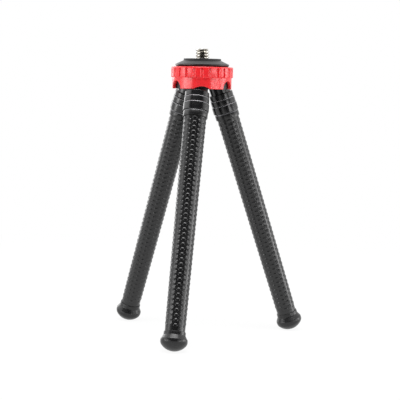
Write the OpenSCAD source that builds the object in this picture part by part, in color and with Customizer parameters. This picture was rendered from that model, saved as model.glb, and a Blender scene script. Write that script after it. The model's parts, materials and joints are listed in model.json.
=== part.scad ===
// Small flexible leg tripod: a turning camera head on a hub that carries three bendable legs.
// Millimetres, +Z up. The origin lies on the floor, straight under the camera screw.
// Along a leg, stations are counted from the outer top edge of its collar down to the tip of its foot.

/* [Camera screw] */
// Outside diameter of the camera thread, a quarter inch
screw_d = 6.35; // [5:0.05:8]
// Length of thread that stands above the seat pad
screw_l = 4.5; // [3:0.1:8]
// Diameter of the plain neck under the thread
neck_d = 5; // [4.5:0.1:5]
// Chamfer at the tip of the thread
screw_chamfer = 0.6; // [0.2:0.1:1]
// Diameter of the flange trapped under the platform
flange_d = 10; // [9:0.1:12]
// Thickness of that flange
flange_t = 1.2; // [0.8:0.1:1.6]
// Diameter of the plain shank that runs in the hub
shank_d = 4; // [3:0.1:4.6]

/* [Seat] */
// Outside diameter of the rubber seat pad
pad_d = 17; // [13:0.1:20]
// Thickness of the seat pad
pad_t = 0.8; // [0.4:0.1:1.5]
// Diameter of the platform at its lower edge
platform_d = 24.3; // [22:0.1:26]
// Height of the straight lower edge of the platform
platform_edge = 0.8; // [0.4:0.1:1.5]
// Height of the cone from that edge up to the pad
platform_cone = 1.7; // [1:0.1:3]
// Diameter of the spigot that centres the platform in the ring
spigot_d = 20; // [14:0.1:21]
// Depth of that spigot
spigot_h = 0.8; // [0.4:0.1:1]

/* [Thumb ring] */
// Distance that the fluted grip band stands out from the skirt
grip_proud = 0.6; // [0.5:0.05:1.2]
// Height of the fluted grip band
grip_h = 5; // [4.6:0.1:8]
// Diameter of the plain skirt under the band
skirt_d = 26.8; // [26:0.1:30]
// Height of the skirt
skirt_h = 5; // [4.2:0.1:8]
// Wall of the skirt
skirt_wall = 1.4; // [1:0.1:2]
// Thickness of the web that closes the ring at the top
web_t = 3.2; // [3:0.1:4]
// Chamfer on both edges of the grip band
grip_chamfer = 0.4; // [0.2:0.05:0.6]
// Number of flutes round the grip band
flutes = 24; // [12:1:36]
// Radius of the cutter that makes a flute
flute_r = 0.75; // [0.6:0.05:1]
// Depth of a flute
flute_depth = 0.5; // [0.3:0.05:0.5]
// Height of the plain lip above the flutes
lip_h = 0.6; // [0.6:0.05:1.2]
// Radius of the three deep round notches in the skirt
notch_r = 3.2; // [2:0.1:3.6]
// Height of the three shallow arches between the notches
arch_h = 1.1; // [0.6:0.1:2]
// Width of those arches at the lower edge
arch_w = 7.7; // [5:0.1:9]

/* [Hub] */
// Depth that a leg core goes into its socket
socket_l = 7; // [4:0.1:7.4]
// Thickness of the friction washer under the ring
friction_t = 0.6; // [0.3:0.1:1]
// Diameter of the friction washer
friction_d = 12; // [9:0.1:15]
// Size of the lock nut across its flats
nut_flats = 7; // [6.5:0.1:7.4]
// Thickness of the lock nut
nut_t = 2.2; // [1.5:0.1:2.6]
// Thickness of the lock washer above the nut
lock_t = 0.6; // [0.3:0.1:0.8]

/* [Legs] */
// Turn of the legs about the head, against the notches of the ring
leg_turn = -12.5; // [-60:0.5:60]
// Lean of a leg from upright
splay = 18.9; // [14:0.1:24]
// Distance of a leg's top from the axis of the head
leg_circle_r = 9; // [8.6:0.1:9.4]
// Length of a leg from its collar to the tip of its foot
leg_l = 115.9; // [100:0.1:150]
// Diameter of the metal core
core_d = 4; // [3:0.1:4.6]

/* [Collar] */
// Diameter of the upper tier of the collar
tier_1_d = 10.9; // [10.4:0.1:11]
// Diameter of the middle tier
tier_2_d = 11.25; // [11.05:0.05:11.3]
// Diameter of the lower tier
tier_3_d = 11.6; // [11.35:0.05:12]
// Height of the upper tier
tier_1_h = 2.35; // [1.5:0.05:4]
// Height of the middle tier
tier_2_h = 2.7; // [1.5:0.05:4]
// Height of the lower tier
tier_3_h = 3.7; // [3.3:0.05:6]
// Chamfer on the edges of a tier
tier_chamfer = 0.25; // [0.1:0.05:0.3]
// Depth that the sleeve goes up into the collar
collar_socket = 3; // [1:0.1:3.2]

/* [Sleeve] */
// Diameter of the plain band at the top of the sleeve
band_d = 10.6; // [10.35:0.05:10.8]
// Height of that band below the collar
band_h = 2.9; // [1:0.1:4]
// Diameter of the sleeve below the band
sleeve_top_d = 10.3; // [9:0.1:10.3]
// Diameter of the sleeve at the foot
sleeve_foot_d = 8.4; // [7:0.1:9]
// Station of the first bend
first_bend = 20; // [17:0.5:22]
// Length of sleeve from the last bend to the foot
last_bend = 21.6; // [17:0.1:24]
// Half the length of sleeve that gives at a bend
bend_half = 3.5; // [3.4:0.1:5]

/* [Foot] */
// Diameter of the foot at its widest
foot_d = 11.4; // [10.4:0.1:13]
// Height of the foot
foot_h = 6.8; // [6.4:0.1:9]
// Diameter of the rim where the sleeve goes in
rim_d = 9.3; // [9.2:0.1:10]
// Height of the cone between rim and widest part
flare_h = 1.7; // [1:0.1:2.2]
// Radius of the domed sole
sole_r = 6.8; // [6.2:0.1:9]
// Radius of the round side of the foot
side_r = 2.6; // [1.5:0.1:2.6]
// Depth that the sleeve goes into the foot
foot_socket = 3.5; // [2:0.1:4]

/* [Fits] */
// Gap between the collars and the lower edge of the ring
ring_gap = 0.35; // [0.3:0.05:1]
// Gap between the hub and the inner wall of the ring
hub_gap = 0.3; // [0.3:0.05:0.8]
// End play of the head on the hub
end_play = 0.1; // [0.05:0.01:0.2]
// Radial clearance of a fit between two round pieces
fit = 0.05; // [0.02:0.01:0.1]
// Half the gap in the core at a bend
core_gap = 1.7; // [1.6:0.1:2.5]
// Gap round the lock nut in its pocket
nut_gap = 0.3; // [0.3:0.05:0.6]

/* [Hidden] */
$fn = 96;
black = "#1d1d1f";
red = "#e23338";
steel = "#c9c9c6";
// Distance that a cutter runs past the face that it cuts
over = 1;

leg_count = 3;
LEGS = [1 : leg_count];
LENGTHS = ["root", "upper", "middle", "lower", "tip"];
BENDS = ["spread", "sway", "knee", "ankle"];
function leg_node(i, piece) = str("leg_", i, "_", piece);

// Stations along a leg
collar_l = tier_1_h + tier_2_h + tier_3_h;
band_end = collar_l + band_h;
rim_at = leg_l - foot_h;
sleeve_end = rim_at + foot_socket;
bend_pitch = (rim_at - last_bend - first_bend) / (len(BENDS) - 1);
function bend_at(k) = first_bend + bend_pitch * k;

// Radius of the sleeve at station s
sleeve_taper = (sleeve_top_d - sleeve_foot_d) / 2 / (sleeve_end - band_end);
function sleeve_r(s) = sleeve_top_d / 2 - sleeve_taper * (s - band_end);

// Heights, from the floor under the soles up to the tip of the screw
leg_top_z = (leg_l - sole_r) * cos(splay) + sole_r;
collar_top_z = leg_top_z + tier_1_d / 2 * sin(splay);
ring_z = collar_top_z + ring_gap;
grip_z = ring_z + skirt_h;
ring_top_z = grip_z + grip_h;
web_z = ring_top_z - web_t;
spigot_z = ring_top_z - spigot_h;
flange_z = spigot_z - flange_t;
pad_z = ring_top_z + platform_edge + platform_cone;
seat_z = pad_z + pad_t;
tip_z = seat_z + screw_l;

// Hub, which stands on the collars and fills the ring, and what is inside it
hub_top_z = web_z - friction_t - end_play;
nut_z = collar_top_z + nut_gap;
lock_z = nut_z + nut_t;
pocket_z = lock_z + lock_t + end_play;
nut_d = nut_flats / cos(30);
pocket_d = nut_d + 2 * nut_gap;
ring_d = skirt_d + 2 * grip_proud;
cavity_r = skirt_d / 2 - skirt_wall;
hub_r = cavity_r - hub_gap;

// A round bar between two heights
module bar(d, low, high) {
    translate([0, 0, low]) cylinder(d = d, h = high - low);
}

// A bar with a hole right through it
module sleeve_bar(d, hole, low, high) {
    difference() {
        bar(d, low, high);
        bar(hole, low - over, high + over);
    }
}

// Places a piece on leg i: station 0 is at the local origin and the leg's axis runs down -Z
module on_leg(i) {
    rotate([0, 0, leg_turn - 90 + 360 / leg_count * (i - 1)])
        translate([leg_circle_r, 0, leg_top_z])
            rotate([0, -splay, 0])
                children();
}

// The stretch of a leg from station a down to station b, with its radius at either end
module stretch(a, b, ra, rb) {
    translate([0, 0, -b]) cylinder(r1 = rb, r2 = ra, h = b - a);
}

// Camera screw: the thread's outer cylinder, a trapped flange and a shank down to the lock nut
module camera_screw() {
    color(steel) {
        bar(neck_d, spigot_z, seat_z);
        bar(screw_d, seat_z, tip_z - screw_chamfer);
        translate([0, 0, tip_z - screw_chamfer])
            cylinder(d1 = screw_d, d2 = screw_d - 2 * screw_chamfer, h = screw_chamfer);
        bar(flange_d, flange_z, spigot_z);
        bar(shank_d, nut_z - end_play, flange_z);
    }
}

// Rubber pad that the camera sits on
module seat_pad() {
    color(black) sleeve_bar(pad_d, screw_d + 2 * fit, pad_z, seat_z);
}

// Platform: a shallow cone with a straight edge, centred in the ring by its spigot
module platform() {
    color(black) difference() {
        union() {
            bar(platform_d, ring_top_z, ring_top_z + platform_edge);
            translate([0, 0, ring_top_z + platform_edge])
                cylinder(d1 = platform_d, d2 = pad_d, h = platform_cone);
            bar(spigot_d, spigot_z, ring_top_z);
        }
        bar(screw_d + 2 * fit, spigot_z - over, seat_z);
    }
}

// Outline of the thumb ring, turned about Z: grip band, skirt and closing web
module ring_profile() {
    grip_r = ring_d / 2;
    polygon([
        [shank_d / 2 + fit, web_z],
        [cavity_r, web_z],
        [cavity_r, ring_z],
        [skirt_d / 2, ring_z],
        [skirt_d / 2, grip_z],
        [grip_r - grip_chamfer, grip_z],
        [grip_r, grip_z + grip_chamfer],
        [grip_r, ring_top_z - grip_chamfer],
        [grip_r - grip_chamfer, ring_top_z],
        [spigot_d / 2 + fit, ring_top_z],
        [spigot_d / 2 + fit, spigot_z],
        [flange_d / 2 + fit, spigot_z],
        [flange_d / 2 + fit, flange_z],
        [shank_d / 2 + fit, flange_z]
    ]);
}

// A round cutter that goes out through the skirt, with its centre at height z
module skirt_cutter(angle, r, z) {
    rotate([0, 0, angle])
        translate([cavity_r - skirt_wall, 0, z])
            rotate([0, 90, 0]) cylinder(r = r, h = 3 * skirt_wall);
}

// Thumb ring: fluted grip band over a skirt with three round notches and three arches
module thumb_ring() {
    arch_r = (arch_w * arch_w / 4 + arch_h * arch_h) / (2 * arch_h);
    color(red) difference() {
        rotate_extrude() ring_profile();
        for (k = [0 : flutes - 1])
            rotate([0, 0, 360 / flutes * k])
                translate([ring_d / 2 + flute_r - flute_depth, 0, 0])
                    bar(2 * flute_r, grip_z - over, ring_top_z - lip_h);
        for (k = LEGS) {
            skirt_cutter(360 / leg_count * k - 30, notch_r, ring_z);
            skirt_cutter(360 / leg_count * k - 90, arch_r, ring_z + arch_h - arch_r);
        }
    }
}

// Washer that gives the ring its drag
module friction_washer() {
    color("#e8e4d8") sleeve_bar(friction_d, shank_d + 2 * fit, web_z - friction_t, web_z);
}

// Hub: a round block with a leaning socket for each leg, a hole for the shank and a pocket for the nut
module hub() {
    color(black) difference() {
        bar(2 * hub_r, collar_top_z, hub_top_z);
        bar(shank_d + 2 * fit, collar_top_z - over, hub_top_z + over);
        bar(pocket_d, collar_top_z - over, pocket_z);
        for (i = LEGS)
            on_leg(i) bar(core_d + 2 * fit, -over, socket_l);
    }
}

// Washer above the lock nut
module lock_washer() {
    color(steel) sleeve_bar(nut_flats, shank_d + 2 * fit, lock_z, lock_z + lock_t);
}

// Nut that keeps the screw in the hub
module lock_nut() {
    color(steel) difference() {
        translate([0, 0, nut_z]) cylinder(d = nut_d, h = nut_t, $fn = 6);
        bar(shank_d + 2 * fit, nut_z - over, lock_z + over);
    }
}

// One tier of a collar, chamfered at both edges
module tier(d, a, b) {
    r = d / 2;
    stretch(a, a + tier_chamfer, r - tier_chamfer, r);
    stretch(a + tier_chamfer, b - tier_chamfer, r, r);
    stretch(b - tier_chamfer, b, r, r - tier_chamfer);
}

// Collar: three tiers that grow a little downwards, bored for the core and the sleeve's end
// and cut level at the top, close under the ring
module leg_collar(i) {
    top = -tier_1_d * tan(splay) - over;
    color(black) difference() {
        intersection() {
            on_leg(i) {
                tier(tier_1_d, top, tier_1_h);
                tier(tier_2_d, tier_1_h, tier_1_h + tier_2_h);
                tier(tier_3_d, tier_1_h + tier_2_h, collar_l);
            }
            bar(2 * ring_d, 0, collar_top_z);
        }
        on_leg(i) {
            stretch(top - over, collar_l + over, core_d / 2 + fit, core_d / 2 + fit);
            stretch(collar_l - collar_socket, collar_l + over, band_d / 2 + fit, band_d / 2 + fit);
        }
    }
}

// Where length k of a leg starts and ends: it reaches from one bend to the next
function length_start(k, gap) = bend_at(k - 1) + gap;
function length_end(k, gap) = bend_at(k) - gap;

// Core: the metal rod in length k of the leg
module leg_core(i, k) {
    start = k == 0 ? -socket_l : length_start(k, core_gap);
    end = k == len(BENDS) ? sleeve_end : length_end(k, core_gap);
    color(steel) on_leg(i) stretch(start, end, core_d / 2, core_d / 2);
}

// A stretch of the tapered sleeve with its bore for the core
module sleeve_stretch(a, b) {
    difference() {
        stretch(a, b, sleeve_r(a), sleeve_r(b));
        stretch(a - over, b + over, core_d / 2 + fit, core_d / 2 + fit);
    }
}

// Sleeve: the rubber of length k, with the plain band on the first
module leg_sleeve(i, k) {
    start = k == 0 ? band_end : length_start(k, bend_half);
    end = k == len(BENDS) ? sleeve_end : length_end(k, bend_half);
    color(black) on_leg(i) {
        sleeve_stretch(start, end);
        if (k == 0) difference() {
            stretch(collar_l - collar_socket, band_end, band_d / 2, band_d / 2);
            stretch(0, band_end + over, core_d / 2 + fit, core_d / 2 + fit);
        }
    }
}

// Bend: the short stretch of the sleeve that gives at bend k
module leg_bend(i, k) {
    color(black) on_leg(i) sleeve_stretch(bend_at(k) - bend_half, bend_at(k) + bend_half);
}

// Outline of the foot, with the tip of the sole at the origin
module foot_profile() {
    side_x = foot_d / 2 - side_r;
    reach = sole_r - side_r;
    side_y = sole_r - sqrt(reach * reach - side_x * side_x);
    // the sole ends on the line through both centres, where it runs smoothly into the side
    far = [side_x, side_y - sole_r] * 2 * sole_r / reach + [0, sole_r];
    intersection() {
        translate([0, sole_r]) circle(r = sole_r);
        polygon([[0, sole_r], [0, -over], [far[0], -over], far]);
    }
    translate([side_x, side_y]) circle(r = side_r);
    polygon([
        [0, side_y],
        [foot_d / 2, side_y],
        [foot_d / 2, foot_h - flare_h],
        [rim_d / 2, foot_h],
        [0, foot_h]
    ]);
}

// Foot: a rubber cap with a domed sole and a socket for the sleeve
module leg_foot(i) {
    socket_r = sleeve_r(rim_at) + fit;
    color(black) on_leg(i) difference() {
        translate([0, 0, -leg_l]) rotate_extrude() foot_profile();
        stretch(rim_at - over, sleeve_end, socket_r, socket_r);
    }
}

camera_screw();
seat_pad();
platform();
thumb_ring();
friction_washer();
hub();
lock_washer();
lock_nut();
for (i = LEGS) {
    leg_collar(i);
    leg_foot(i);
    for (k = [0 : len(LENGTHS) - 1]) {
        leg_core(i, k);
        leg_sleeve(i, k);
    }
    for (k = [0 : len(BENDS) - 1])
        leg_bend(i, k);
}
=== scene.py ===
# %% [markdown]
# # A small tripod with three bendable legs
#
# The object is a table tripod for a small camera. A turning head carries the camera screw on a round seat, and a
# red ring turns it by thumb. Three legs hang from the hub inside the ring: each is a soft metal rod in a rubber
# sleeve with rows of raised scales, held by a stepped collar and ending in a domed rubber foot.
#
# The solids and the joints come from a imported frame. This lesson dresses them: it builds finer pieces in the same
# places, gives every surface a material, and sets up the studio. Sizes are written in millimetres.

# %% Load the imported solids
import json
import math

import bmesh
import bpy
from mathutils import Matrix, Vector


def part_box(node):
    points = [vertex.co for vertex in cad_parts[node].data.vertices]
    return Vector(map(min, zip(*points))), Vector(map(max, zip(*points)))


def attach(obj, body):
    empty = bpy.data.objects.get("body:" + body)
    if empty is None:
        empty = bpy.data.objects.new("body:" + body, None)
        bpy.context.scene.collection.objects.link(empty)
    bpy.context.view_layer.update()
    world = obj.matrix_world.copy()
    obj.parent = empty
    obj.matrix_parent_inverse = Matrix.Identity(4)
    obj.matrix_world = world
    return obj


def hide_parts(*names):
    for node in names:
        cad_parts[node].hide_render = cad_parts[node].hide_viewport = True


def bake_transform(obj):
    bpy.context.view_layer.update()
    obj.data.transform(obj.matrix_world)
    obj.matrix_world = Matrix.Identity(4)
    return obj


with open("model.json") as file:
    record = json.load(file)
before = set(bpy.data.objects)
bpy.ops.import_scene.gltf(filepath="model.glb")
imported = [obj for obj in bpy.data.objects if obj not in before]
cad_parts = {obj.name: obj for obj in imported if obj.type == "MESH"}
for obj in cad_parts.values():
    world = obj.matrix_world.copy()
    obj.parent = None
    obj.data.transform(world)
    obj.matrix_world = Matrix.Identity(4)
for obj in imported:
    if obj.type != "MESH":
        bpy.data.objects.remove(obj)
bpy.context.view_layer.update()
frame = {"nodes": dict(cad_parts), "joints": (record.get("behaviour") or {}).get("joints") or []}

joints = {joint["name"]: joint for joint in frame["joints"]}
print("solids:", len(frame["nodes"]), "joints:", len(joints))

# %% [markdown]
# ## Where the legs are
#
# A leg leans, so it is easiest to model upright, in its own millimetres, and to set it in place at the end. Its
# matrix comes from two of its joints, which both lie on its axis. Places along a leg are called stations: they
# count down from the outer top edge of the collar.

# %% Find the axes of the legs
MM = 0.001
MILLIMETRES = Matrix.Scale(MM, 4)
LEGS = (1, 2, 3)
BENDS = ("spread", "sway", "knee", "ankle")
FIRST_BEND = 20.0  # the station of the first bend


def leg_place(leg):
    """The matrix that takes a leg modelled upright in millimetres to its place in the frame."""
    upper, lower = (Vector(joints[f"leg_{leg}_{bend}"]["pos_m"]) for bend in ("spread", "ankle"))
    up = (upper - lower).normalized()
    across = up.cross(Vector((-up.x, -up.y, 0))).normalized()
    outward = across.cross(up)
    turn = Matrix((outward, across, up)).transposed().to_4x4()
    return Matrix.Translation(upper + up * FIRST_BEND * MM) @ turn @ MILLIMETRES


place = {leg: leg_place(leg) for leg in LEGS}
bend_at = [-(place[1].inverted() @ Vector(joints[f"leg_1_{bend}"]["pos_m"])).z for bend in BENDS]
print("bends at stations", [round(bend, 2) for bend in bend_at])

# %% [markdown]
# ## Measures of the solids
#
# The dressed pieces take the places of solids, so their main heights are measured on the solids. That keeps them
# where the solids are, and it is safer than copying numbers.

# %% Measure the solids
def stations(node):
    """The first and the last station of one of leg 1's solids."""
    upright = place[1].inverted()
    along = [-(upright @ vertex.co).z for vertex in frame["nodes"][node].data.vertices]
    return min(along), max(along)


def heights(node):
    """The lowest and the highest point of a solid, in millimetres."""
    return [corner.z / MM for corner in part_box(node)]


collar_end = stations("leg_1_collar")[1]
sleeve_top = stations("leg_1_sleeve_root")[0]
sleeve_end = stations("leg_1_sleeve_tip")[1]
rim_at, foot_tip = stations("leg_1_foot")
collar_top_z = heights("leg_1_collar")[1]
ring_top_z = heights("thumb_ring")[1]
spigot_z, pad_z = heights("platform")
seat_z = heights("seat_pad")[1]
shank_z, tip_z = heights("camera_screw")
print("foot from station", round(rim_at, 2), "to", round(foot_tip, 2), "seat at", round(seat_z, 2))

# %% [markdown]
# ## Helpers for materials
#
# Every finish is a Principled shader with a few texture nodes in front of it. One helper turns a colour as it is
# written for screens into the linear numbers that the shader works with. One adds a node, fills in its settings and
# makes its links. One turns a size in millimetres into a texture's scale, because Object coordinates are in metres.

# %% Colour and node helpers
def colour(hex_text):
    """A colour such as #d03030 as linear red, green, blue and alpha."""
    parts = [int(hex_text[k:k + 2], 16) / 255 for k in (1, 3, 5)]
    return (*(c / 12.92 if c <= 0.04045 else ((c + 0.055) / 1.055) ** 2.4 for c in parts), 1.0)


def add_node(tree, kind, inputs=None, **settings):
    """Adds a shader node. An input is given a value, or the output socket that feeds it."""
    node = tree.nodes.new("ShaderNode" + kind)
    for name, value in settings.items():
        setattr(node, name, value)
    for name, value in (inputs or {}).items():
        if isinstance(value, bpy.types.NodeSocket):
            tree.links.new(value, node.inputs[name])
        else:
            node.inputs[name].default_value = value
    return node


def per_metre(size_mm):
    """The texture scale that gives a pattern of that size."""
    return 1 / (size_mm * MM)


print("a mid grey in linear light:", round(colour("#808080")[0], 3))

# %% [markdown]
# ## What all finishes share
#
# No real surface is even. One pattern lets the colour and the gloss drift between two values, and the same or a finer
# one gives the surface a slight relief. Noise seldom leaves the middle of its range, so the gloss is spread over that
# middle. One function does this for every material, so that all of them vary in the same way.

# %% Recipe for an uneven surface
MIX_A, MIX_B, MIX_RESULT = 6, 7, 2  # the colour sockets of a Mix node, which has a set for each kind of data
NOISE_LOW, NOISE_HIGH = 0.3, 0.7


def uneven(tree, drift, relief, dark, light, gloss, depth):
    """Feeds a material's shader: the drift sets its colour and roughness, and the relief tilts its surface."""
    shader = tree.nodes["Principled BSDF"]
    tone = add_node(tree, "Mix", {"Factor": drift, MIX_A: colour(dark), MIX_B: colour(light)}, data_type="RGBA")
    shine = add_node(tree, "MapRange", {"Value": drift, "From Min": NOISE_LOW, "From Max": NOISE_HIGH,
                                        "To Min": gloss[0], "To Max": gloss[1]})
    bump = add_node(tree, "Bump", {"Height": relief, "Distance": depth * MM, "Strength": 1.0})
    tree.links.new(tone.outputs[MIX_RESULT], shader.inputs["Base Color"])
    tree.links.new(shine.outputs["Result"], shader.inputs["Roughness"])
    tree.links.new(bump.outputs["Normal"], shader.inputs["Normal"])
    return shader


print("noise is used from", NOISE_LOW, "to", NOISE_HIGH)

# %% [markdown]
# ## Moulded plastics and rubbers
#
# The sleeve, the feet and the pad are moulded rubber, and the collars, the hub, the platform and the ring are
# moulded ABS or nylon. All of them leave a mould, so they share one recipe: a faint drift of colour and of gloss over
# a few millimetres, where the melt cooled unevenly, and a fine grain copied from the steel of the mould. Only the
# numbers differ. The pad is the dullest and the collars are the shiniest. Two finishes are lighter greys, a painted
# highlight on the small cones at the edges of the collars' tiers and the sleeve's band. The platform's grain is drawn
# out into lines round its axis.
#
# The true grain is finer than a pixel here, so it is drawn at a few tenths of a millimetre.

# %% Recipe for moulded finishes
DRIFT = 7.0  # the size, in millimetres, of the patches that cooled alike
FINE, TURNED = (0.4, 0.4, 0.4), (4.0, 4.0, 0.22)


def moulded(name, dark, light, gloss, grain, depth, ior=1.5):
    """A moulded finish: two close colours, the range of its roughness, and in millimetres the size of its grain along
    each axis and the depth of the grain."""
    material = bpy.data.materials.new(name)
    material.use_nodes = True
    tree = material.node_tree
    where = add_node(tree, "TexCoord").outputs["Object"]
    cooling = add_node(tree, "TexNoise", {"Vector": where, "Scale": per_metre(DRIFT), "Detail": 3.0})
    stretched = add_node(tree, "Mapping", {"Vector": where, "Scale": [per_metre(size) for size in grain]})
    texture = add_node(tree, "TexNoise", {"Vector": stretched.outputs["Vector"], "Scale": 1.0, "Detail": 2.0})
    shader = uneven(tree, cooling.outputs["Fac"], texture.outputs["Fac"], dark, light, gloss, depth)
    shader.inputs["IOR"].default_value = ior
    return material


# Black rubber with a soft gloss: thin light arcs on the edges of the scales.
sleeve_rubber = moulded("moulded_sleeve_rubber", "#0c0c0d", "#141415", (0.25, 0.34), FINE, 0.005, ior=1.54)
# A slightly duller black rubber: broader, softer highlights on the rounds of the feet.
foot_rubber = moulded("moulded_foot_rubber", "#0b0b0c", "#131314", (0.28, 0.36), FINE, 0.005)
# Matt black rubber: an even dark grey with hardly any highlight.
pad_rubber = moulded("moulded_pad_rubber", "#131314", "#1c1c1d", (0.45, 0.58), FINE, 0.014)
# Polished black nylon: nearly a mirror, dark in front and grey at the sides.
collar_nylon = moulded("polished_black_nylon", "#08080a", "#0f0f11", (0.18, 0.25), FINE, 0.0015, ior=1.58)
# Painted highlight: a lighter grey rubber for the edge cone of the sleeve's band, which draws a thin bright line.
painted_highlight_rubber = moulded("sleeve_rubber_painted_highlight", "#5c5c5f", "#77777a", (0.2, 0.28), FINE, 0.003)
# Painted highlight: a lighter grey nylon for the edge cones of the collar's tiers, which draws thin lines brighter
# than the rubber's.
painted_highlight_nylon = moulded("black_nylon_painted_highlight", "#6e6e71", "#8a8a8d", (0.16, 0.24), FINE, 0.0015)
# Black ABS with fine rings: they break its highlight into streaks.
platform_abs = moulded("turned_black_ABS", "#101011", "#19191a", (0.28, 0.36), TURNED, 0.008)
# Plain black ABS: a dull dark that shows in the notches of the ring.
hub_abs = moulded("plain_black_ABS", "#121213", "#1a1a1c", (0.4, 0.5), FINE, 0.008)
# Satin red ABS: a strong red with crisp pale highlights.
ring_abs = moulded("satin_red_ABS", "#e2262b", "#ea2e33", (0.2, 0.26), FINE, 0.003)
# Undyed nylon: cream and dull.
washer_nylon = moulded("natural_nylon", "#d9d3c2", "#e8e3d4", (0.4, 0.5), FINE, 0.006)
print("moulded finishes:", len(bpy.data.materials))

# %% [markdown]
# ## Plated steel and soft aluminium
#
# The screw is steel with bright nickel plating, turned on a lathe, so faint lines run round it. The roots of its
# thread get a near-black steel, a painted shade where the turns hide each other. The nut and its washer are duller
# zinc. The rods in the legs are drawn aluminium with lines along their length. A metal shows its colour only in its
# reflections, so it is fully metallic and keeps the default IOR, and the lines change its roughness and tilt the
# surface a little.
#
# The true lines are finer than a pixel here, so they are drawn a few tenths of a millimetre apart.

# %% Recipe for metals
LINE_DEPTH = 0.004
LATHE, BARREL, DRAWN = (3.0, 3.0, 0.15), (1.5, 1.5, 0.4), (0.3, 0.3, 8.0)


def plated(name, dark, light, gloss, lines):
    """A metal with fine lines; lines gives their spacing in millimetres along each axis."""
    material = bpy.data.materials.new(name)
    material.use_nodes = True
    tree = material.node_tree
    where = add_node(tree, "TexCoord").outputs["Object"]
    stretched = add_node(tree, "Mapping", {"Vector": where, "Scale": [per_metre(size) for size in lines]})
    turning = add_node(tree, "TexNoise", {"Vector": stretched.outputs["Vector"], "Scale": 1.0, "Detail": 3.0})
    shader = uneven(tree, turning.outputs["Fac"], turning.outputs["Fac"], dark, light, gloss, LINE_DEPTH)
    shader.inputs["Metallic"].default_value = 1.0
    return material


# Nickel on steel: a bright, slightly warm mirror on the crests of the thread.
screw_steel = plated("nickel_plated_steel", "#c2beb7", "#dcd8d0", (0.12, 0.2), LATHE)
# Painted shade: a near-black steel for the roots of the thread, which draws nearly black lines between the crests.
root_steel_painted_shade = plated("root_steel_painted_shade", "#2c2a28", "#403d3a", (0.2, 0.3), LATHE)
# Zinc on steel: a dull grey.
nut_steel = plated("zinc_plated_steel", "#8f9296", "#b3b5b8", (0.3, 0.45), BARREL)
# Drawn aluminium: a pale grey with lines along the rod.
core_aluminium = plated("drawn_aluminium", "#b9bbbd", "#d2d3d5", (0.3, 0.42), DRAWN)
print("finishes in all:", len(bpy.data.materials))

# %% [markdown]
# ## Turned pieces
#
# Most of the tripod is round: the seat, the ring, the collars and the feet all have an axis. Such a piece is drawn as
# half of its section and spun about that axis, as on a lathe. Real edges are never razor sharp, and the small
# rounds are what catch the light, so the corners of the section are rounded first, with a bevel of its points. That
# is easier than choosing the edges of the finished body one ring at a time.

# %% Helpers for turned pieces
SHARP = math.radians(50)
ROUND_STEPS, MERGE = 4, 1e-4


def turned(section, rounds=None, steps=96, closed=True):
    """A body spun about Z from (radius, height) points. rounds gives the radius at a point's number."""
    bm = bmesh.new()
    points = [bm.verts.new((radius, 0, height)) for radius, height in section]
    for first, second in zip(points, points[1:]):
        bm.edges.new((first, second))
    if closed:
        bm.edges.new((points[-1], points[0]))
    for number, radius in (rounds or {}).items():
        bmesh.ops.bevel(bm, geom=[points[number]], offset=radius, offset_type="OFFSET", affect="VERTICES",
                        segments=ROUND_STEPS, profile=0.5, material=-1)
    bmesh.ops.spin(bm, geom=bm.verts[:] + bm.edges[:], axis=(0, 0, 1), cent=(0, 0, 0), angle=2 * math.pi,
                   steps=steps, use_merge=True)
    bmesh.ops.remove_doubles(bm, verts=bm.verts, dist=MERGE)
    bmesh.ops.recalc_face_normals(bm, faces=bm.faces)
    return bm


def finished(name, bm, material, matrix=MILLIMETRES, weighted=True, sharp=SHARP):
    """Turns a bmesh into an object of the scene, in metres, with smooth faces and sharp corners."""
    bmesh.ops.transform(bm, matrix=matrix, verts=bm.verts)
    for face in bm.faces:
        face.smooth = True
    for edge in bm.edges:
        edge.smooth = edge.calc_face_angle(math.pi) < sharp
    mesh = bpy.data.meshes.new(name)
    bm.to_mesh(mesh)
    bm.free()
    mesh.materials.append(material)
    piece = bpy.data.objects.new(name, mesh)
    bpy.context.scene.collection.objects.link(piece)
    if weighted:
        piece.modifiers.new("even_shading", "WEIGHTED_NORMAL").keep_sharp = True
    print(name, "faces:", len(mesh.polygons))
    return piece


print("a corner is sharp from", round(math.degrees(SHARP)), "degrees")

# %% [markdown]
# ## Seat pad
#
# The camera rests on a thin rubber pad with four shallow rings pressed into it, so that it doesn't slip. The rings
# are drawn as part of the section, which is simpler than cutting them into the finished disc.

# %% Turn the pad
PAD_R, HOLE_R, PAD_ROUND = 8.5, 3.25, 0.25
GROOVES = (4.4, 5.4, 6.4, 7.4)
GROOVE_W, GROOVE_DEPTH = 0.35, 0.2
groove_z = seat_z - GROOVE_DEPTH
pad_section = [(HOLE_R, seat_z), (HOLE_R, pad_z), (PAD_R, pad_z), (PAD_R, seat_z)]
pad_corner = len(pad_section) - 1
for groove in reversed(GROOVES):
    outer, inner = groove + GROOVE_W / 2, groove - GROOVE_W / 2
    pad_section += [(outer, seat_z), (outer, groove_z), (inner, groove_z), (inner, seat_z)]
pad = finished("dressed_seat_pad", turned(pad_section, {pad_corner: PAD_ROUND}), pad_rubber)
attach(pad, "head")
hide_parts("seat_pad")

# %% [markdown]
# ## Platform
#
# Under the pad the platform slopes out like a flat cone to a short upright edge, and a spigot below centres it in
# the ring. The edge is chamfered underneath, which leaves a dark line above the ring. All of it is one section.

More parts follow.
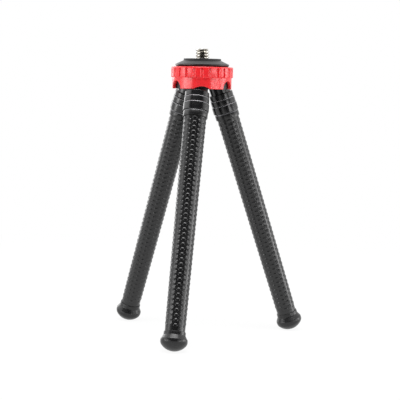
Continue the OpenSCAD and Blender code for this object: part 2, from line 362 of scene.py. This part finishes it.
# %% Turn the platform
PLATFORM_R, SPIGOT_R, PLATFORM_EDGE, UNDERCUT, RIM_DROP = 12.15, 10.0, 1.2, 0.6, 0.4
PLATFORM_ROUNDS = {4: 0.2, 5: 0.14, 6: 0.1}  # at the two corners of the edge and beside the pad
PLATFORM_STEPS = 128
rim_z = ring_top_z - RIM_DROP
platform_section = [
    (HOLE_R, spigot_z), (SPIGOT_R, spigot_z), (SPIGOT_R, rim_z), (PLATFORM_R - UNDERCUT, rim_z),
    (PLATFORM_R, rim_z + UNDERCUT), (PLATFORM_R, rim_z + PLATFORM_EDGE), (PAD_R, pad_z), (HOLE_R, pad_z),
]
platform_body = turned(platform_section, PLATFORM_ROUNDS, PLATFORM_STEPS)
platform = finished("dressed_platform", platform_body, platform_abs)
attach(platform, "head")
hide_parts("platform")

# %% [markdown]
# ## Thread of the camera screw
#
# The screw has the quarter inch thread that cameras take: 6.35 mm across, with 20 turns to the inch, and flats an
# eighth of its pitch high at root and crest. A thread is one short zigzag that climbs by its own height in each
# turn, so spinning that zigzag with a step upwards makes all the turns at once. Two plane cuts give it level ends,
# and the tip is drawn in to a small chamfer so that it starts easily.

# %% Wind the thread
THREAD_R, PITCH, TURN_STEPS, TURNS = 3.175, 1.27, 64, 6
THREAD_DEPTH, THREAD_SUNK, THREAD_MERGE, TIP_CHAMFER = 0.54 * PITCH, 0.3, 2e-3, 0.6
ROOT_R = THREAD_R - THREAD_DEPTH
thread_z, start_z = seat_z - THREAD_SUNK, seat_z - 2 * PITCH
screw = bmesh.new()
zigzag = [(ROOT_R, 0), (ROOT_R, PITCH / 8), (THREAD_R, PITCH / 2), (THREAD_R, PITCH * 5 / 8), (ROOT_R, PITCH)]
thread = [screw.verts.new((radius, 0, start_z + height)) for radius, height in zigzag]
for first, second in zip(thread, thread[1:]):
    screw.edges.new((first, second))
bmesh.ops.spin(screw, geom=screw.verts[:] + screw.edges[:], axis=(0, 0, 1), cent=(0, 0, 0),
               dvec=(0, 0, PITCH / TURN_STEPS), angle=2 * math.pi * TURNS, steps=TURN_STEPS * TURNS)
bmesh.ops.remove_doubles(screw, verts=screw.verts, dist=THREAD_MERGE)
for cut_z, keep_above in ((thread_z, True), (tip_z, False)):
    bmesh.ops.bisect_plane(screw, geom=screw.verts[:] + screw.edges[:] + screw.faces[:], plane_co=(0, 0, cut_z),
                           plane_no=(0, 0, 1), clear_inner=keep_above, clear_outer=not keep_above)
for vertex in screw.verts:
    limit = THREAD_R - TIP_CHAMFER + max(0, tip_z - vertex.co.z)
    radius = math.hypot(vertex.co.x, vertex.co.y)
    if radius > limit:
        vertex.co.xy *= limit / radius
bmesh.ops.holes_fill(screw, edges=[edge for edge in screw.edges if edge.is_boundary], sides=0)
print("faces of the thread:", len(screw.faces))

# %% [markdown]
# ## Shank of the camera screw
#
# A plain shank with a trapped flange runs down to the nut inside the hub. It is turned, which is simpler than winding
# it with the thread, and joined to the thread as one mesh. The faces in the roots of the thread get the near-black
# finish, a painted shade, and the level ends of the screw stay bright.

# %% Add the shank and paint shade into the roots
SCREW_NECK_R, FLANGE_R, FLANGE_T, SHANK_R = 2.4, 5.0, 1.2, 2.0
SHANK_ROUND, SHANK_STEPS, THREAD_SHARP = 0.3, 48, math.radians(35)
# The painted shade reaches this far out from the roots of the thread, and faces that are nearly level stay bright.
ROOT_SHADE_H, LEVEL_FACE = 0.03, 0.95
flange_z = spigot_z - FLANGE_T
shank_section = [
    (0, thread_z), (0, shank_z), (SHANK_R, shank_z), (SHANK_R, flange_z), (FLANGE_R, flange_z),
    (FLANGE_R, spigot_z), (SCREW_NECK_R, spigot_z), (SCREW_NECK_R, thread_z),
]
shank = turned(shank_section, {2: SHANK_ROUND}, SHANK_STEPS, closed=False)
shank_mesh = bpy.data.meshes.new("shank")
shank.to_mesh(shank_mesh)
shank.free()
screw.from_mesh(shank_mesh)
bmesh.ops.recalc_face_normals(screw, faces=screw.faces)
# Painted shade: the upright faces in the roots of the thread take the second, near-black finish.
for face in screw.faces:
    middle = face.calc_center_median()
    in_root = middle.z > thread_z and middle.xy.length < ROOT_R + ROOT_SHADE_H
    face.material_index = in_root and abs(face.normal.z) < LEVEL_FACE
stud = finished("dressed_camera_screw", screw, screw_steel, weighted=False, sharp=THREAD_SHARP)
stud.data.materials.append(root_steel_painted_shade)
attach(stud, "head")
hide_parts("camera_screw")

# %% [markdown]
# ## Body of the thumb ring
#
# The ring is one red moulding: a band with ribs to grip, a plain lip above it and a plain skirt below. The platform's
# spigot and the screw's flange sit in two steps at its top. It is turned in many narrow steps, because its grip and
# its skirt are shaped afterwards by moving points.

# %% Turn the ring
GRIP_R, SKIRT_R, CAVITY_R, BORE_R = 14.0, 13.4, 12.0, 2.05
GRIP_H, WEB_T, LIP_H, LIP_STEP, PLAY = 5.2, 3.2, 0.55, 0.15, 0.05
RING_ROUNDS = {2: 0.2, 3: 0.2, 4: 0.15, 5: 0.25, 8: 0.45}  # along the lower edge, under the grip and at the top
RING_STEPS = 720
skirt_z, lip_z = collar_top_z + PLAY, rim_z - LIP_H
grip_z, web_z = ring_top_z - GRIP_H, ring_top_z - WEB_T
ring_section = [
    (BORE_R, web_z), (CAVITY_R, web_z), (CAVITY_R, skirt_z), (SKIRT_R, skirt_z), (SKIRT_R, grip_z),
    (GRIP_R, grip_z), (GRIP_R, lip_z - LIP_STEP), (GRIP_R, lip_z), (GRIP_R, rim_z),
    (SPIGOT_R + PLAY, rim_z), (SPIGOT_R + PLAY, spigot_z), (FLANGE_R + PLAY, spigot_z),
    (FLANGE_R + PLAY, flange_z), (BORE_R, flange_z),
]
ring = turned(ring_section, RING_ROUNDS, RING_STEPS)
print("points of the ring:", len(ring.verts))

# %% [markdown]
# ## Grip and skirt of the thumb ring
#
# The grip has 24 ribs with a round flute between each two. The lower edge of the skirt has three round notches with a
# low arch between each two. The points between two ribs are drawn in to make a flute, and the points of the lower
# edge are lifted along each notch and arch. Moving points keeps the mesh clean, where cutting it with other bodies
# would leave ragged faces along the curves.

# %% Shape the grip and the skirt
RIBS, FLUTE_W, FLUTE_DEPTH, FLUTE_POWER, FLUTE_FLOOR = 24, 1.4, 0.57, 1.4, 0.02
NOTCH_R, NOTCH_AT, ARCH_H, ARCH_W = 3.6, math.radians(61.5), 1.2, 7.2
EDGE_H, NEAR = 0.5, 0.05
arch_r = (ARCH_W ** 2 / 4 + ARCH_H ** 2) / (2 * ARCH_H)


def flute_depth(angle):
    """How far the grip is drawn in at that angle. The power above 1 softens the edges of the flute."""
    step = 2 * math.pi / RIBS
    off = ((angle + step / 2) % step - step / 2) * GRIP_R
    return FLUTE_DEPTH * max(0, 1 - (2 * off / FLUTE_W) ** 2) ** FLUTE_POWER


def edge_lift(radius, angle):
    """How far the lower edge of the skirt is lifted at that angle, which counts from the middle of the front."""
    third = 2 * math.pi / 3
    off_notch = min(abs(abs(angle) - NOTCH_AT), math.pi - abs(angle))
    off_arch = (angle + third / 2) % third - third / 2
    notch = math.sqrt(max(0, NOTCH_R ** 2 - (radius * math.sin(off_notch)) ** 2))
    arch = ARCH_H - arch_r + math.sqrt(max(0, arch_r ** 2 - (radius * math.sin(off_arch)) ** 2))
    return max(notch, arch, 0)


for vertex in ring.verts:
    radius, angle = math.hypot(vertex.co.x, vertex.co.y), math.atan2(vertex.co.x, -vertex.co.y)
    if vertex.co.z < skirt_z + EDGE_H:
        vertex.co.z += edge_lift(radius, angle)
    elif radius > SKIRT_R + NEAR and vertex.co.z < lip_z - NEAR:
        vertex.co.xy *= max(SKIRT_R + FLUTE_FLOOR, radius - flute_depth(angle)) / radius
thumb_ring = finished("dressed_thumb_ring", ring, ring_abs)
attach(thumb_ring, "head")
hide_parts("thumb_ring")

# %% [markdown]
# ## Section of a collar
#
# Each leg hangs from the hub by a collar of three tiers, polished black, each a little wider than the one above, with
# a narrow neck at the top. A narrow groove parts the tiers. The upper edge of a tier is a short cone in a lighter
# grey, a painted highlight that draws a thin bright line. The tiers follow one pattern, so a loop draws them.

# %% Draw the section of a collar
TIERS = ((5.45, 2.35), (5.625, 2.7), (5.8, 3.7))  # the radius and the height of each tier
TIER_GROOVE_W, TIER_GROOVE_DEPTH, CORE_HOLE, SOCKET_R = 0.14, 0.35, 2.05, 5.38
UPPER_ROUND, LOWER_ROUND, CONE_W, CONE_H = 0.2, 0.15, 0.15, 0.45
COLLAR_NECK_R, COLLAR_NECK_H = 4.6, 8
collar_section = [(CORE_HOLE, COLLAR_NECK_H), (COLLAR_NECK_R, COLLAR_NECK_H), (COLLAR_NECK_R, 0)]
collar_rounds, cones = {}, []
station = 0
for number, (radius, height) in enumerate(TIERS):
    collar_rounds[len(collar_section)] = UPPER_ROUND
    if number:
        cones.append((radius - CONE_W, radius, -station - CONE_H, -station))
        collar_section.append((radius - CONE_W, -station))
    collar_section.append((radius, -station - CONE_H if number else -station))
    station += height
    collar_rounds[len(collar_section)] = LOWER_ROUND
    if number < len(TIERS) - 1:
        groove_r, groove_top = radius - TIER_GROOVE_DEPTH, TIER_GROOVE_W - station
        collar_section += [(radius, groove_top), (groove_r, groove_top), (groove_r, -station)]
collar_section += [
    (TIERS[-1][0], -station), (SOCKET_R, -station), (SOCKET_R, -sleeve_top), (CORE_HOLE, -sleeve_top),
]
print("tiers end at station", round(station, 2))

# %% [markdown]
# ## Collars
#
# A collar is turned about the leg's axis, which leans. Its neck is then cut level, because it ends close under the
# ring, and the cut is closed again. Only the neck is cut, so the first tier keeps its square end.

# %% Turn the collars and cut their necks level
for leg in LEGS:
    bm = turned(collar_section, collar_rounds)
    # Painted highlight: the faces of the tiers' edge cones take the second, lighter grey finish.
    for face in bm.faces:
        middle = face.calc_center_median()
        face.material_index = any(inner < middle.xy.length < outer and low < middle.z < high
                                  for inner, outer, low, high in cones)
    bmesh.ops.transform(bm, matrix=place[leg], verts=bm.verts)
    bmesh.ops.bisect_plane(bm, geom=bm.verts[:] + bm.edges[:] + bm.faces[:], plane_co=(0, 0, collar_top_z * MM),
                           plane_no=(0, 0, 1), clear_outer=True)
    bmesh.ops.bridge_loops(bm, edges=[edge for edge in bm.edges if edge.is_boundary])
    bmesh.ops.recalc_face_normals(bm, faces=bm.faces)
    collar = finished(f"leg_{leg}_dressed_collar", bm, collar_nylon, matrix=Matrix.Identity(4))
    collar.data.materials.append(painted_highlight_nylon)
    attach(collar, "hub")
    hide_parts(f"leg_{leg}_collar")

# %% [markdown]
# ## Feet
#
# A foot is a rubber cap that grips the end of the sleeve. It has a short neck, flares out, and closes in a dome that
# stands on the table at any lean. The dome's section is two arcs, one for the side and one for the sole, that meet in
# the same direction, so no line shows between them.

# %% Turn the feet
FOOT_R, FOOT_NECK_H, FLARE_H, FOOT_SOCKET_R = 5.88, 1.6, 1.8, 4.42
FOOT_NECK_R = (4.74, 4.8)  # at the top of the neck and below it
FOOT_ROUNDS = {3: 0.12, 4: 0.25, 5: 0.3}  # at the top of the neck, below it and at the widest place
SOLE_R, SIDE_R, ARC_STEPS = 6.8, 2.6, 10
foot_h, socket_h = foot_tip - rim_at, foot_tip - sleeve_end
side_x = FOOT_R - SIDE_R
side_z = SOLE_R - math.sqrt((SOLE_R - SIDE_R) ** 2 - side_x ** 2)
meet = math.atan2(SOLE_R - side_z, side_x)
side_arc = [(side_x + SIDE_R * math.cos(a), side_z - SIDE_R * math.sin(a))
            for a in (meet * k / ARC_STEPS for k in range(ARC_STEPS))]
sole_arc = [(SOLE_R * math.cos(a), SOLE_R - SOLE_R * math.sin(a))
            for a in (meet + (math.pi / 2 - meet) * k / ARC_STEPS for k in range(ARC_STEPS))]
foot_section = [
    (0, socket_h), (FOOT_SOCKET_R, socket_h), (FOOT_SOCKET_R, foot_h + FOOT_NECK_H),
    (FOOT_NECK_R[0], foot_h + FOOT_NECK_H), (FOOT_NECK_R[1], foot_h), (FOOT_R, foot_h - FLARE_H),
]
foot_section += side_arc + sole_arc + [(0, 0)]
foot_section = [(radius, height - foot_tip) for radius, height in foot_section]
for leg in LEGS:
    cap = turned(foot_section, FOOT_ROUNDS, closed=False)
    foot = finished(f"leg_{leg}_dressed_foot", cap, foot_rubber, matrix=place[leg])
    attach(foot, f"leg_{leg}_tip")
    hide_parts(f"leg_{leg}_foot")

# %% [markdown]
# ## Scales of the sleeve
#
# The sleeve is a rubber tube with a plain band at the top and rows of small raised scales below. A scale is a low
# button whose upper edge stands out a little more than its lower edge. Six of them make a ring, and the next ring
# sits half a row lower and is turned by half a space. So one button is enough: a spin copies it round the leg, and a
# second spin, with a step downwards, copies that ring along the leg.

# %% Helper for the scales
TUBE_R, ROW_PITCH, FIRST_ROW, AROUND = 4.98, 2.2, 12.9, 6
SCALE_L, SCALE_W, SCALE_PROUD, SCALE_SIDES = 1.9, 2.3, 0.08, 16
SCALE_WALL, SCALE_RIM = (0.06, 0.45), (0.32, 0.21)  # how far each part goes inwards and upwards
SCALE_TILT, SCALE_TURN = math.radians(9), math.radians(12.5)


def scales(first, last):
    """The scales whose middles lie between two stations, as a mesh."""
    half_row = ROW_PITCH / 2
    start = max(0, math.ceil((first - FIRST_ROW) / half_row))
    end = math.ceil((min(last, rim_at - FOOT_NECK_H - half_row) - FIRST_ROW) / half_row)
    bm = bmesh.new()
    bmesh.ops.create_circle(bm, cap_ends=True, radius=1, segments=SCALE_SIDES)
    bmesh.ops.scale(bm, vec=(SCALE_L / 2, SCALE_W / 2, 1), verts=bm.verts)
    top = bm.faces[:]
    for inwards, upwards in (SCALE_WALL, SCALE_RIM):
        bmesh.ops.inset_region(bm, faces=top, thickness=inwards, depth=upwards, use_boundary=True)
    bmesh.ops.holes_fill(bm, edges=[edge for edge in bm.edges if edge.is_boundary], sides=0)
    bmesh.ops.recalc_face_normals(bm, faces=bm.faces)
    sink = Matrix.Translation((0, 0, SCALE_PROUD - SCALE_WALL[1] - SCALE_RIM[1]))
    tilt = Matrix.Rotation(SCALE_TILT, 4, "Y") @ sink
    stand = Matrix.Rotation(math.radians(90), 4, "Y")
    turn = Matrix.Rotation(SCALE_TURN + math.pi / AROUND * start, 4, "Z")
    out = Matrix.Translation((TUBE_R, 0, -FIRST_ROW - half_row * start))
    bmesh.ops.transform(bm, matrix=turn @ out @ stand @ tilt, verts=bm.verts)
    bmesh.ops.spin(bm, geom=bm.verts[:] + bm.edges[:] + bm.faces[:], axis=(0, 0, 1), cent=(0, 0, 0),
                   angle=2 * math.pi * (AROUND - 1) / AROUND, steps=AROUND - 1, use_duplicate=True)
    bmesh.ops.spin(bm, geom=bm.verts[:] + bm.edges[:] + bm.faces[:], axis=(0, 0, 1), cent=(0, 0, 0),
                   angle=math.pi / AROUND * (end - start - 1), steps=end - start - 1, dvec=(0, 0, -half_row),
                   use_duplicate=True)
    mesh = bpy.data.meshes.new("scales")
    bm.to_mesh(mesh)
    bm.free()
    return mesh


print("scales in a ring:", AROUND)

# %% [markdown]
# ## Tube of the sleeve
#
# The tube is turned with many short steps along its length, so that it can curve. The first length carries the plain
# band. The band starts inside the collar, and its upper edge below the collar is a short cone in a lighter grey, a
# painted highlight like the collar's. Tube and scales are made with one radius and tapered together at the end.

# %% Helpers for the tube
BAND_END, BAND_R, BEAD_R, TUBE_FOOT_R, TUBE_BORE = 11.65, 5.3, 5.52, 4.35, 3.2
BAND_CORNER, BAND_ROUND, BAND_ROUND_STEPS = 5, 0.2, 3  # the corner's number in the section, its round and steps
TUBE_STEPS, ROW_STEP = 48, 1.1
bead_top = -collar_end - TIER_GROOVE_W


def tapered(bm):
    """Narrows what lies below the band, in proportion to its station."""
    for vertex in bm.verts:
        share = max(0, (-vertex.co.z - BAND_END) / (sleeve_end - BAND_END))
        vertex.co.xy *= 1 + share * (TUBE_FOOT_R / TUBE_R - 1)
    return bm


def tube(first, last):
    """A length of the sleeve's tube between two stations. A length that starts in the band has the band too."""
    bm = bmesh.new()
    has_band = first < BAND_END
    section = [(TUBE_BORE, -first)]
    if has_band:
        section += [(BAND_R, -first), (BAND_R, bead_top), (BEAD_R - CONE_W, bead_top), (BEAD_R, bead_top - CONE_H),
                    (BEAD_R, -BAND_END), (TUBE_R, -BAND_END)]
    else:
        section.append((TUBE_R, -first))
    section += [(TUBE_R, -last), (TUBE_BORE, -last)]
    points = [bm.verts.new((radius, 0, height)) for radius, height in section]
    lines = [bm.edges.new(pair) for pair in zip(points, points[1:] + points[:1])]
    outer_wall, inner_wall = lines[-3], lines[-1]
    if has_band:
        bmesh.ops.bevel(bm, geom=[points[BAND_CORNER]], offset=BAND_ROUND, offset_type="OFFSET", affect="VERTICES",
                        segments=BAND_ROUND_STEPS, profile=0.5, material=-1)
    for wall in (outer_wall, inner_wall):
        bmesh.ops.subdivide_edges(bm, edges=[wall], cuts=int(wall.calc_length() / ROW_STEP))
    bmesh.ops.spin(bm, geom=bm.verts[:] + bm.edges[:], axis=(0, 0, 1), cent=(0, 0, 0), angle=2 * math.pi,
                   steps=TUBE_STEPS, use_merge=True)
    bmesh.ops.remove_doubles(bm, verts=bm.verts, dist=MERGE)
    bmesh.ops.recalc_face_normals(bm, faces=bm.faces)
    # Painted highlight: the faces of the band's edge cone take the second, lighter grey finish.
    for face in bm.faces:
        middle = face.calc_center_median()
        face.material_index = (BEAD_R - CONE_W < middle.xy.length < BEAD_R
                               and bead_top - CONE_H < middle.z < bead_top)
    return bm


print("the band shows from station", round(-bead_top, 2), "to", BAND_END)

# %% [markdown]
# ## Sleeves over the bends
#
# The sleeve bends anywhere on the real object, and the frame gives it four bends. So it is made in four lengths, each
# with one bend in its middle, and each is set in place on its leg. A length ends half way between two bends, where
# the leg stays straight, so its neighbour meets it without a gap.

# %% Make the sleeves
BEND_ROOM, SCALE_SHARP = 10.5, math.radians(25)
seams = [sleeve_top] + [(a + b) / 2 for a, b in zip(bend_at, bend_at[1:])] + [sleeve_end]
LENGTH_NODES = (("sleeve_root", "bend_spread"), ("sleeve_upper", "bend_sway"), ("sleeve_middle", "bend_knee"),
                ("sleeve_lower", "bend_ankle", "sleeve_tip"))
for number, bend in enumerate(BENDS):
    first, last = seams[number:number + 2]
    studs = scales(first, last)
    for leg in LEGS:
        bm = tube(first, last)
        bm.from_mesh(studs)
        sleeve = finished(f"leg_{leg}_rubber_{bend}", tapered(bm), sleeve_rubber, matrix=place[leg], weighted=False,
                          sharp=SCALE_SHARP)
        if first < BAND_END:
            sleeve.data.materials.append(painted_highlight_rubber)
        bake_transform(sleeve)
        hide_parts(*(f"leg_{leg}_{node}" for node in LENGTH_NODES[number]))

# %% [markdown]
# ## Finishes for the solids that stay
#
# The hub, its washers and nut, and the rods in the legs already have their real shape, so they keep their solids
# and only get the finish that belongs to them.

# %% Finish the hub, the washers, the nut and the rods
FINISHES = {"hub": hub_abs, "friction_washer": washer_nylon, "lock_washer": nut_steel, "lock_nut": nut_steel}
for name, solid in frame["nodes"].items():
    finish = core_aluminium if "_core_" in name else FINISHES.get(name)
    if finish:
        solid.data.materials.clear()
        solid.data.materials.append(finish)
print("solids that stay:", sum(not solid.hide_render for solid in frame["nodes"].values()))

# %% [markdown]
# ## White room
#
# The tripod stands in a white studio with soft light. The room is fully white where it is seen or mirrored, but it
# lights the tripod less than that, so that the lamps can shape it. A background with two levels does this without
# any walls.

# %% White room
def background_rays(tree):
    """A socket that is 1 for the rays that show the background: to the camera, in reflections and through glass."""
    path = add_node(tree, "LightPath")
    seen = path.outputs["Is Camera Ray"]
    for kind in ("Is Glossy Ray", "Is Transmission Ray"):
        seen = add_node(tree, "Math", {0: seen, 1: path.outputs[kind]}, operation="MAXIMUM").outputs[0]
    return seen


ROOM_LIGHT = 0.55
scene = bpy.context.scene
scene.view_settings.view_transform = "Standard"
room_world = bpy.data.worlds.new("white_room")
scene.world = room_world
room_world.use_nodes = True
tree = room_world.node_tree
level = add_node(tree, "MapRange", {"Value": background_rays(tree), "To Min": ROOM_LIGHT, "To Max": 1.0})
tree.nodes["Background"].inputs["Color"].default_value = colour("#ffffff")
tree.links.new(level.outputs["Result"], tree.nodes["Background"].inputs["Strength"])
print("the room lights with", ROOM_LIGHT)

# %% [markdown]
# ## White floor
#
# The floor has to look as white as the room to the camera and in reflections, and still keep a faint shadow. So most
# of what is seen of it is an even glow, and the rest is matt white paint, which takes the shadow. Away from the legs
# the glow takes over, and no edge shows where the floor meets the room.

# %% White floor
def card(name, size, matrix, material):
    """A flat panel of the studio."""
    bm = bmesh.new()
    bmesh.ops.create_grid(bm, x_segments=1, y_segments=1, size=0.5)
    bmesh.ops.scale(bm, vec=(*size, 1), verts=bm.verts)
    panel = finished(name, bm, material, matrix=matrix, weighted=False)
    return panel


FLOOR_SIZE, FLOOR_ROUGHNESS, FLOOR_GLOW = 8.0, 0.9, 0.93
SHADOW_AREA = (0.15, 0.37)  # the distances, in metres, between which the shadow fades out
# Matt white paint: flat and pale, with only the shadow of the feet on it.
floor_paint = bpy.data.materials.new("white_sweep")
floor_paint.use_nodes = True
tree = floor_paint.node_tree
shader = tree.nodes["Principled BSDF"]
shader.inputs["Base Color"].default_value = colour("#f2f2f2")
shader.inputs["Roughness"].default_value = FLOOR_ROUGHNESS
where = add_node(tree, "TexCoord").outputs["Object"]
away = add_node(tree, "VectorMath", {0: where}, operation="LENGTH")
fade = add_node(tree, "MapRange", {"Value": away.outputs["Value"], "From Min": SHADOW_AREA[0],
                                   "From Max": SHADOW_AREA[1], "To Min": FLOOR_GLOW, "To Max": 1.0})
share = add_node(tree, "Math", {0: background_rays(tree), 1: fade.outputs["Result"]}, operation="MULTIPLY")
glow = add_node(tree, "Emission", {"Color": colour("#ffffff"), "Strength": 1.0})
mixed = add_node(tree, "MixShader", {0: share.outputs[0], 1: shader.outputs[0], 2: glow.outputs[0]})
tree.links.new(mixed.outputs[0], tree.nodes["Material Output"].inputs["Surface"])
card("floor", (FLOOR_SIZE, FLOOR_SIZE), Matrix.Identity(4), floor_paint)

# %% [markdown]
# ## Dark cloths
#
# Two dark cloths, one behind the camera and one on the floor below it, keep the black parts black: what faces the
# camera mirrors the cloths, and what turns away mirrors the white room. The camera itself doesn't see them.

# %% Hang the dark cloths
CLOTH_SIZE, CLOTH_AT = (4.4, 1.4), (0, -0.75, 0.7)
FLOOR_CLOTH_SIZE, FLOOR_CLOTH_AT = (4.4, 0.4), (0, -0.58, 0.002)
# Black cloth: swallows nearly all light.
cloth_black = bpy.data.materials.new("black_cloth")
cloth_black.use_nodes = True
shader = cloth_black.node_tree.nodes["Principled BSDF"]
shader.inputs["Base Color"].default_value = colour("#0c0c0c")
shader.inputs["Roughness"].default_value = 1.0
upright = Matrix.Translation(CLOTH_AT) @ Matrix.Rotation(math.radians(90), 4, "X")
cloth = card("dark_cloth", CLOTH_SIZE, upright, cloth_black)
front_cloth = card("dark_floor_cloth", FLOOR_CLOTH_SIZE, Matrix.Translation(FLOOR_CLOTH_AT), cloth_black)
cloth.visible_camera = front_cloth.visible_camera = False

# %% [markdown]
# ## Lamps
#
# Low strips on both sides draw the pale stripes on the ring. Low boxes beside them and larger ones above them light
# the legs, a tall strip at the back left draws a thin rim of light, and a large box hangs above. All of them are area
# lamps that aim at the middle of the tripod, because a large lamp gives soft edges to light and shadow.

# %% Set up the lamps
AIM = Vector((0, 0, 0.07))
LAMPS = {  # place and size in metres, then watts
    "left_low_strip": ((-0.65, -0.43, 0.09), (0.50, 0.10), 1.1),
    "left_low_box": ((-0.75, -0.20, 0.11), (0.32, 0.22), 0.5),
    "left_softbox": ((-0.82, 0.10, 0.52), (0.86, 0.45), 1.1),
    "left_strip": ((-0.46, 0.66, 0.32), (0.22, 0.9), 2.0),
    "right_low_strip": ((0.61, -0.48, 0.09), (0.46, 0.10), 1.0),
    "right_low_box": ((0.78, 0.03, 0.11), (0.42, 0.22), 1.3),
    "right_softbox": ((0.82, 0.10, 0.52), (0.86, 0.45), 0.3),
    "top_softbox": ((0.0, -0.30, 0.95), (0.9, 0.5), 10.5),
}
for name, (spot, size, watts) in LAMPS.items():
    lamp = bpy.data.lights.new(name, "AREA")
    lamp.shape = "RECTANGLE"
    lamp.size, lamp.size_y = size
    lamp.energy = watts
    holder = bpy.data.objects.new(name, lamp)
    holder.location = spot
    holder.rotation_euler = (AIM - Vector(spot)).to_track_quat("-Z", "Y").to_euler()
    scene.collection.objects.link(holder)
print("lamps:", len(LAMPS))

# %% [markdown]
# ## Camera
#
# The camera stands 0.6 m in front, as high as the ring, and looks slightly down. It is also tipped sideways by about
# a degree, because the object leans by that much in the picture. The focal length was measured in pixels of the
# picture, and the width of the sensor turns it into millimetres.

# %% Set up the camera
CAMERA_AT, CLIP = (0.00016, -0.6, 0.1147), (0.01, 50)
LOOK_DOWN, TIP = math.radians(5.084), math.radians(1.115)
SENSOR, FOCAL_PX, IMAGE_PX = 36.0, 1319.9, 400
lens = bpy.data.cameras.new("camera")
lens.sensor_width = SENSOR
lens.lens = FOCAL_PX / IMAGE_PX * SENSOR
lens.clip_start, lens.clip_end = CLIP
camera = bpy.data.objects.new("camera", lens)
camera.matrix_world = (Matrix.Translation(CAMERA_AT) @ Matrix.Rotation(math.pi / 2 - LOOK_DOWN, 4, "X")
                       @ Matrix.Rotation(TIP, 4, "Z"))
scene.collection.objects.link(camera)
scene.camera = camera
print("focal length in mm:", round(lens.lens, 2))
